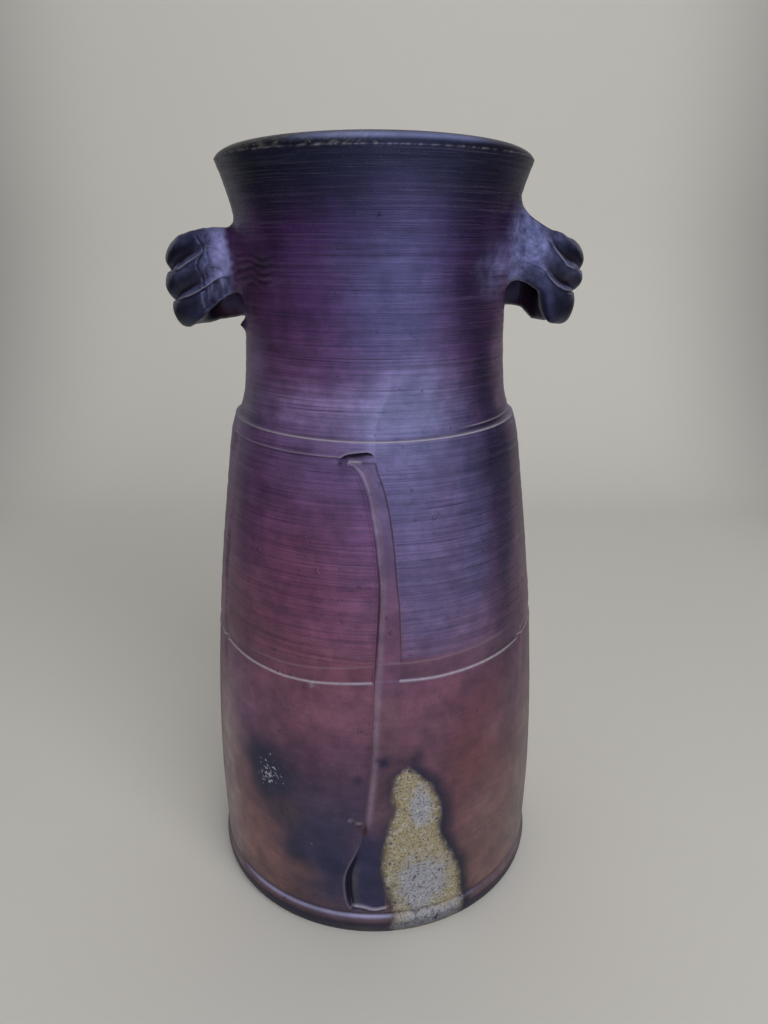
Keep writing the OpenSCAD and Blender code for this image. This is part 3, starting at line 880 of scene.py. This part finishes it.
# To the right of the long stroke a grey bloom, partly painted sheen, ends
# sharply at the stroke
bloom_and_sheen = eased(from_right / 0.5) * eased((V - 102.2) / 0.8) * outer * (A > 0) * (A < 60)
bloom_and_sheen *= blob(A, V, 13, 158, 24, 30) + 0.75 * blob(A, V, 20, 115, 19, 22)
paint(0.80 * bloom_and_sheen, (0.088, 0.078, 0.170))
paint(0.60 * band * outer * seen(A, 9, 42, 8), (0.080, 0.042, 0.060))
# The stroke's floor is maroon, greyer towards its head, with a painted
# highlight on the bevel along its steep side
stroke = length * outer
stroke_floor = stroke * in_stroke
paint(0.70 * stroke_floor * between(V, 92, 170, 6), (0.120, 0.050, 0.085))
paint(0.70 * stroke_floor * eased((V - 108) / 50), (0.125, 0.105, 0.225))
paint(0.45 * stroke_floor * between(V, 44, 90, 6), (0.110, 0.055, 0.055))
paint(0.60 * stroke * hump(from_left - 1.5, 0.95) * eased((V - 42) / 8), (0.190, 0.135, 0.185))
paint(0.90 * stroke_floor * (1 - eased((V - 34) / 14)), (0.016, 0.015, 0.040))
lower_bevel = hump(from_left - 2.6, 1.5) * (1 - eased((V - 24) / 8))
paint(0.75 * stroke * lower_bevel, (0.060, 0.054, 0.058))
paint(0.80 * skid * outer, (0.060, 0.022, 0.018))
# Spots: one beside the stroke, and one under the point of the ash
spot_edge = 0.5 * rough_at(np.stack([A, 0 * A, V], -1), 1.3, 3.0) * blob(A, V, 2.6, 69.0, 4, 4)
paint(1.1 * blob(A, V, 2.6, 69.0, 2.1, 1.8) + spot_edge, (0.006, 0.006, 0.020))
paint(0.75 * blob(A, V, -5.2, 62.5, 1.6, 1.6), (0.010, 0.005, 0.006))

# Light catches a bluish sheen on the rim's bevel and along the top of the bead
on_rim = (V > RIM_EDGE_H) & (R > 43) & ~outer
paint(0.80 * on_rim * hump(V - 247.2, 0.8) * seen(A, -16, 30, 18), (0.130, 0.150, 0.320))
paint(0.50 * on_foot * hump(V - 7.3, 0.9), (0.080, 0.066, 0.100))
paint(0.85 * on_foot * hump(V - 7.7, 0.5) * seen(A, -48, 28, 10), (0.240, 0.240, 0.430))
# Painted shade in the groove over the bead
paint(0.80 * hump(V - 9.0, 0.55), (0.012, 0.010, 0.014))
rim_left = eased((z - 244.2) / 0.7) * (1 - eased((a + 18) / 34))
paint(0.9 * rim_left * rough_at(pot_now, 0.8, 51.0), (0.16, 0.16, 0.13))
# Painted shade under the bead
paint(0.85 * (1 - eased((z - 4.2) / 2.4)), (0.010, 0.010, 0.016))
# Olive near the very bottom, partly ash spots and partly painted reflection of the floor
paint(0.6 * between(z, 0.5, 3.5, 1) * hump(turned(a + 2), 13), (0.070, 0.068, 0.045))

# The ash ran down the right of the stroke, with a dark halo mostly right of it
edge_a = a + 0.9 * rough_at(pot_now, 6.0, 41.0) + 0.3 * rough_at(pot_now, 2.6, 43.0)
edge_z = z + 1.0 * rough_at(pot_now, 5.5, 45.0)
per_degree = thrown_radius(np.clip(z, 9, 244)) * np.pi / 180
inward_left = (edge_a - read_off(ASH_OUTLINE_LEFT, edge_z)) * per_degree
inward_right = (read_off(ASH_OUTLINE_RIGHT, edge_z) - edge_a) * per_degree
inward = np.minimum(np.minimum(inward_left, inward_right), (67.3 - edge_z) * 0.9)
on_outside = (r > 56) & (z < 80)
outward_by = np.maximum(-inward, 0)
to_right = eased(inward_left / 4 + 0.4) * on_outside
halo_width = np.interp(z, [0, 20, 40, 68], [3.5, 5.5, 6.2, 6.5])
paint(0.93 * to_right * (1 - eased((outward_by - 0.6) / halo_width)), (0.007, 0.0065, 0.008))
paint(0.55 * on_outside * hump(outward_by, 2.2) * (1 - to_right), (0.020, 0.014, 0.012))
ash_tip = on_outside * hump(edge_z - 69.5, 2.2) * hump(edge_a - 8.5, 4.5)
paint(0.65 * ash_tip, (0.030, 0.012, 0.008))
ash = np.clip(inward / 16 + 0.5, 0, 1) * on_outside
grey_ash = on_outside * np.max([
    blob(edge_a, edge_z, 15, 20, 9.5, 13.5), blob(edge_a, edge_z, 14.5, 51, 4.2, 8.5),
    0.9 * blob(edge_a, edge_z, 18, 5, 14, 5),
], axis=0)
crust = sum(thick * blob(a, z, *place) for *place, thick in CRUSTS)
crust = crust + 0.4 * rim_left * (a > -100) * (r > 44)


def sheen_and_bloom_over(p, share):
    """Painted blue sheen, partly a real bloom, on the ears' front faces, which spreads on to the
    neck.
    """
    cloudy = 0.62 + 0.45 * rough_at(p, 2.6, 21.0) + 0.30 * rough_at(p, 0.9, 23.0)
    paint(share * cloudy, SHEEN_AND_BLOOM)


def spread_right(p):
    """How far the right ear's painted sheen, partly bloom, covers ear and neck at places p."""
    on_neck = 0.90 * blob(told_angle(p) + 3 * rough_at(p, 6.0, 25.0), p[:, 2], 58, 214, 12, 6.5)
    return np.maximum(eased((neck_distance(p) - 0.35) / 2.4), on_neck)


near_ears = eased((z - 186) / 5) * eased((244 - z) / 3) * eased((np.abs(pot_now[:, 0]) - 24) / 6)
near_ears *= pot_now[:, 1] < 0
clear_of_neck = near_ears * eased((neck_distance(pot_now) - 0.35) / 2.4)
leathery_and_sheen = near_ears * spread_right(pot_now) * (a > 0)
paint(0.7 * clear_of_neck * (a < 0), (0.050, 0.018, 0.050))
sheen_and_bloom_over(pot_now, leathery_and_sheen)
keep_mask(pot, "ground", *ground.T)
keep_mask(pot, "ashes", ash, crust, np.maximum(grey_ash, leathery_and_sheen))
keep_mask(pot, "marks", highlight_and_wear, painted_shade, thrown * outer)

# The ears are near black, with painted shade under each lip, and a painted
# blue sheen, partly bloom, on the front of their roots and on the lower wall
# of each hollow
for ear in ears:
    piece = ear["piece"]
    now = each_vertex(piece, "co") / MM
    count = ear["f"].size
    on_left = ear["side"] < 0
    apart = neck_distance(now) + 0.8 * rough_at(now, 1.6, 29.0)
    clear_of_neck = eased((apart - (2.6 if on_left else 0.35)) / 2.2)
    ground = ground_with_painted_light(now)
    paint(clear_of_neck, (0.0030, 0.0026, 0.0090))
    front, s = np.zeros((2, len(now)))
    front[:count] = ((ear["facing"] > 0) & (ear["f"] < 0.1)).ravel()
    s[:count] = ear["s"].ravel()
    x_out = np.abs(now[:, 0])
    root = 1 - eased((x_out - (49 if on_left else 50)) / 7)
    root *= np.where(s < 1, 1 - 0.6 * eased((x_out - 43) / 5), 1)
    # Each hollow's lower wall faces up and looks light, its deep part dark
    up_lobe = s - np.floor(np.minimum(s, 2.99))
    light_wall = 0.75 * between(up_lobe, 0.02, 0.15, 0.08) * (s > 1)
    light_wall += eased((up_lobe - 0.5) / 0.4) * np.where(s < 1, 0.15, 0.45)
    spread = clear_of_neck if on_left else spread_right(now)
    sheen_and_bloom_over(now, front * np.maximum(root, light_wall) * spread)
    back_leg = clear_of_neck * (1 - front) * (1 - eased((x_out - 50) / 5)) * (now[:, 1] > 0)
    fibres = 0.75 + 0.5 * rough_at(now, (5.0, 5.0, 0.7), 27.0)
    paint(back_leg * fibres, (0.085, 0.024, 0.028) if on_left else (0.040, 0.012, 0.016))
    # Painted highlight on the front of the left ear near its root
    if on_left:
        bright = front * clear_of_neck * (1 - eased((x_out - 45.5) / 5)) * eased((s - 0.85) / 0.3)
        paint(0.55 * bright, (0.300, 0.290, 0.600))
    keep_mask(piece, "ground", *ground.T)
    keep_mask(piece, "ashes", 0 * s, 0 * s, 0.9 * front * root)
    keep_mask(piece, "marks", ear["highlight_and_wear"], ear["painted_shade"])


# The skin of the clay: wood-fired and unglazed, tightly vitrified and softly
# shining. One material covers pot and ears, and their masks tell it what
# lies where.
# Pale for painted highlights, partly wear; deep brown for painted shade and for scratches
HIGHLIGHT_AND_WEAR_PALE = (0.42, 0.38, 0.44)
DEEP_BROWN = (0.010, 0.005, 0.006)
STREAK_PALE = (0.10, 0.085, 0.13)
CRUST_PALE = (0.34, 0.34, 0.40)
ASH_GREY = (0.260, 0.265, 0.290)
ASH_OCHRE = (0.275, 0.235, 0.130)
ASH_OLIVE = (0.120, 0.095, 0.045)
SHEEN_TINT = (0.36, 0.45, 1.0, 1)

clay = bpy.data.materials.new("fired_clay")
clay.use_nodes = True
tree = clay.node_tree
tree.nodes.clear()


def fill(socket, value):
    """Set a socket, or link it to another one."""
    if isinstance(value, bpy.types.NodeSocket):
        tree.links.new(value, socket)
    else:
        socket.default_value = value


def node(kind, **settings):
    made = tree.nodes.new("ShaderNode" + kind)
    for key, value in settings.items():
        if key in made.inputs:
            fill(made.inputs[key], value)
        else:
            setattr(made, key, value)
    return made


def painted(name):
    return node("Attribute", attribute_name=name).outputs["Color"]


def masks(name):
    return node("SeparateColor", Color=painted(name)).outputs


def times(a, b, plus=None, clamp=False):
    """a times b, and what is to be added."""
    operation = "MULTIPLY" if plus is None else "MULTIPLY_ADD"
    made = node("Math", operation=operation, use_clamp=clamp)
    for socket, value in zip(made.inputs, (a, b, plus)):
        if value is not None:
            fill(socket, value)
    return made.outputs[0]


def ramped(value, low, high, to_low=0.0, to_high=1.0):
    """to_low at low and to_high at high, smooth between."""
    ends = {"From Min": low, "From Max": high, "To Min": to_low, "To Max": to_high}
    return node("MapRange", interpolation_type="SMOOTHSTEP", Value=value, **ends).outputs[0]


def mixed(share, a, b, blend="MIX"):
    made = node("Mix", data_type="RGBA", blend_type=blend)
    for index, value in ((0, share), (6, a), (7, b)):
        fill(made.inputs[index], (*value, 1) if isinstance(value, tuple) else value)
    return made.outputs[2]


def shaded(colour, by):
    return mixed(1.0, colour, by, "MULTIPLY")


def stained(colour, share, strength, tint):
    return mixed(times(share, strength), colour, tint)


position = node("TexCoord").outputs["Object"]


def grained(scale, detail, rough, squashed=1, distortion=0.0):
    """Noise over the piece; squashed draws it out level round the pot."""
    place = node("Mapping", Vector=position, Scale=(1, 1, squashed)).outputs[0]
    return node(
        "TexNoise", Vector=place, Scale=scale, Detail=detail, Roughness=rough,
        Distortion=distortion,
    ).outputs["Fac"]


ash_mask, crust_mask, grey_mask = masks("ashes")
highlight_and_wear_mask, painted_shade_mask, thrown_mask = masks("marks")

cloud = grained(60, 4, 0.6)
cloud_fine = grained(170, 4, 0.65)
streak = grained(16, 5, 0.75, 50)
streak_fine = grained(26, 4, 0.75, 90)
scratch = grained(9, 2, 0.5, 240)
speckle = grained(1500, 2, 0.6)
speckle_big = grained(620, 3, 0.6)

# Clouds, turning streaks and mottles darken and lighten the ground
colour = shaded(painted("ground"), ramped(cloud, 0.30, 0.70, 0.80, 1.22))
colour = shaded(colour, ramped(cloud_fine, 0.30, 0.70, 0.82, 1.20))
colour = mixed(thrown_mask, colour, shaded(colour, ramped(streak, 0.32, 0.68, 0.72, 1.24)))
scratched = times(times(ramped(scratch, 0.36, 0.30), thrown_mask), ramped(cloud, 0.42, 0.56))
colour = stained(colour, scratched, 0.65, DEEP_BROWN)
light_streak = times(ramped(streak_fine, 0.51, 0.63), thrown_mask)
pale_clay = mixed(0.5, shaded(colour, (1.6, 1.6, 1.6)), STREAK_PALE)
colour = stained(colour, light_streak, 0.42, pale_clay)
dark_streak = times(ramped(streak_fine, 0.46, 0.34), thrown_mask)
colour = stained(colour, dark_streak, 0.50, shaded(colour, (0.35, 0.32, 0.38)))
colour = stained(colour, ramped(speckle, 0.62, 0.76), 0.14, (0.20, 0.17, 0.20))
colour = stained(colour, ramped(speckle_big, 0.36, 0.27), 0.45, (0.012, 0.008, 0.014))

# Grains of ash that stuck in the dark patches
crust_grain = times(grained(260, 2, 0.5), 0.35, grained(1000, 2, 0.5))
crusted = ramped(times(crust_mask, 0.22, crust_grain), 0.945, 1.01)
colour = mixed(times(crusted, ramped(crust_mask, 0.15, 0.45)), colour, CRUST_PALE)

# The run of ash: olive at its edge, ochre further in and grey in the middle
ash_edge = ramped(times(cloud_fine, 0.09, ash_mask), 0.495, 0.625)
grey_share = ramped(times(cloud_fine, 1.1, grey_mask), 0.75, 1.35)
ochre_share = ramped(times(cloud_fine, 0.12, ash_mask), 0.58, 0.74)
ash_colour = mixed(grey_share, mixed(ochre_share, ASH_OLIVE, ASH_OCHRE), ASH_GREY)
for grain, strength, tint in [
    (ramped(speckle_big, 0.50, 0.66), 0.45, (0.42, 0.42, 0.42)),
    (ramped(speckle, 0.50, 0.38), 0.72, (0.075, 0.055, 0.040)),
    (ramped(grained(360, 2, 0.5), 0.37, 0.29), 0.8, (0.030, 0.030, 0.060)),
]:
    ash_colour = stained(ash_colour, grain, strength, tint)
colour = mixed(ash_edge, colour, ash_colour)

# Painted highlights, partly wear, on edges and lips
highlight_and_wear_share = times(highlight_and_wear_mask, times(grained(900, 3, 0.6), 0.9, 0.45), clamp=True)
colour = mixed(highlight_and_wear_share, colour, HIGHLIGHT_AND_WEAR_PALE)
# Painted shade in hollows, grooves, cracks and under edges
colour = stained(colour, painted_shade_mask, 0.88, DEEP_BROWN)

# The clay is duller under the low line, and so are ash and the edges with painted highlight and
# wear
up = node("SeparateXYZ", Vector=position).outputs["Z"]
rough = times(streak, 0.10, ramped(up, 0.090, 0.110, 0.48, 0.34))
rough = times(ash_edge, 0.22, rough)
rough = times(highlight_and_wear_share, 0.15, rough, clamp=True)

# Fine throwing lines and the grain of the clay stand in the surface itself
fine_lines = times(grained(26, 5, 0.75, 46), 0.00022)
height = times(times(grained(40, 3, 0.7, 90), 0.00008, fine_lines), thrown_mask)
for grain, tall in [
    (grained(900, 4, 0.7), 0.000035),
    (speckle_big, 0.00006),
    (ramped(grained(330, 1, 0.5), 0.74, 0.80), 0.0003),
    (times(crusted, crust_mask), 0.0004),
    (times(ash_edge, speckle), 0.00012),
    (times(grey_mask, grained(480, 3, 0.55, distortion=0.6)), 0.00045),
]:
    height = times(grain, tall, height)
bump = node("Bump", Height=height, Distance=1.0, Strength=1.0)
shader = node("BsdfPrincipled", Roughness=rough, IOR=1.7, Normal=bump.outputs[0])
fill(shader.inputs["Base Color"], colour)
shader.inputs["Specular IOR Level"].default_value = 0.4
shader.inputs["Specular Tint"].default_value = SHEEN_TINT
node("OutputMaterial", Surface=shader.outputs[0])

for piece in [pot] + [ear["piece"] for ear in ears]:
    piece.data.materials.append(clay)
    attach(piece, "root")
    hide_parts("vase")


# The studio: a pale sweep of paper under and behind the vase, a wide window
# of light in front to the right, a soft one above, and dim ones at the sides.
SWEEP_FRONT = -2400
SWEEP_BACK = 620
SWEEP_BEND = 250
SWEEP_TOP = 1600
SWEEP_SIDE = 2200
BEND_STEPS = 24
PAPER_PALE = (0.74, 0.72, 0.68)
PAPER_SHADED = (0.16, 0.16, 0.15)
VASE_MIDDLE = (0, 0, 0.14)

sweep_line = [(SWEEP_FRONT, 0), (-1000, 0), (0, 0)]
for step in range(BEND_STEPS + 1):
    bend = math.pi / 2 * step / BEND_STEPS
    y = SWEEP_BACK - SWEEP_BEND * (1 - math.sin(bend))
    sweep_line.append((y, SWEEP_BEND * (1 - math.cos(bend))))
sweep_line.append((SWEEP_BACK, SWEEP_TOP))
sweep_places = [(x, y, z) for y, z in sweep_line for x in (-SWEEP_SIDE, SWEEP_SIDE)]
sweep_faces = [(i, i + 1, i + 3, i + 2) for i in range(0, len(sweep_places) - 2, 2)]
sweep = mesh_of("paper_sweep", sweep_places, sweep_faces)

# To both sides, out of the picture, shade is painted on the paper
paper = bpy.data.materials.new("pale_paper")
paper.use_nodes = True
tree = paper.node_tree
sideways = node("SeparateXYZ", Vector=node("TexCoord").outputs["Object"]).outputs["X"]
aside = node("Math", operation="ABSOLUTE", Value=sideways).outputs[0]
surface = tree.nodes["Principled BSDF"].inputs
fill(surface["Base Color"], mixed(ramped(aside, 0.26, 0.60), PAPER_PALE, PAPER_SHADED))
surface["Roughness"].default_value = 0.9
surface["Specular IOR Level"].default_value = 0.1
sweep.data.materials.append(paper)


def softbox(name, azimuth, elevation, distance, size, power):
    """A soft light that faces the middle of the vase."""
    a, e = math.radians(azimuth), math.radians(elevation)
    away = Vector((math.sin(a) * math.cos(e), -math.cos(a) * math.cos(e), math.sin(e)))
    data = bpy.data.lights.new(name, "AREA")
    data.shape = "RECTANGLE"
    data.size, data.size_y = size
    data.energy = power
    lamp = bpy.data.objects.new(name, data)
    lamp.location = Vector(VASE_MIDDLE) + away * distance
    lamp.rotation_mode = "QUATERNION"
    lamp.rotation_quaternion = (-away).to_track_quat("-Z", "Y")
    lamp.visible_camera = False
    bpy.context.scene.collection.objects.link(lamp)


softbox("window", 20, 24, 1.2, (1.25, 0.95), 13.0)
softbox("left_fill", -48, 18, 1.3, (0.9, 0.8), 0.7)
softbox("left_edge", -134, 8, 0.9, (0.35, 0.6), 0.7)
softbox("right_edge", 138, 8, 0.9, (0.3, 0.6), 0.8)
softbox("overhead", 180, 84, 1.0, (0.6, 0.6), 1.8)

world = bpy.data.worlds.new("room")
world.use_nodes = True
background = world.node_tree.nodes["Background"].inputs
background["Color"].default_value = (1, 1, 1, 1)
background["Strength"].default_value = 0.08
bpy.context.scene.world = world
bpy.context.scene.view_settings.view_transform = "Standard"
